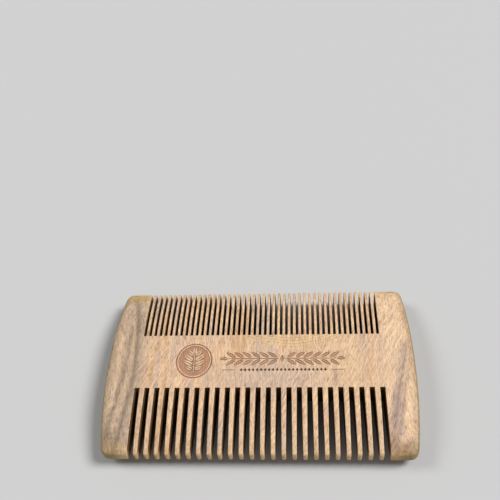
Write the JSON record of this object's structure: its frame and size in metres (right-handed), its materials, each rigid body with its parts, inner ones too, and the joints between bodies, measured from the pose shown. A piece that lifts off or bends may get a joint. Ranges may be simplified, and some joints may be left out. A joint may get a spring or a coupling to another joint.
{
  "type": "two-sided beard comb",
  "caption": "Pocket two-sided wooden beard comb: a fine and a coarse row of teeth on one spine between solid end guards.",
  "frame": {"origin": "middle of the back face, on the surface that the comb rests on", "axes": "+X along the spine, +Y towards the tips of the fine teeth, +Z out of the front face"},
  "size_m": [0.105, 0.063, 0.01],
  "materials": {
    "sandalwood": "bare sanded light sandalwood, satin, with grey-olive heartwood streaks; ornament burnt in by laser"
  },
  "bodies": {
    "root": {"comb": "sandalwood"}
  },
  "joints": []
}
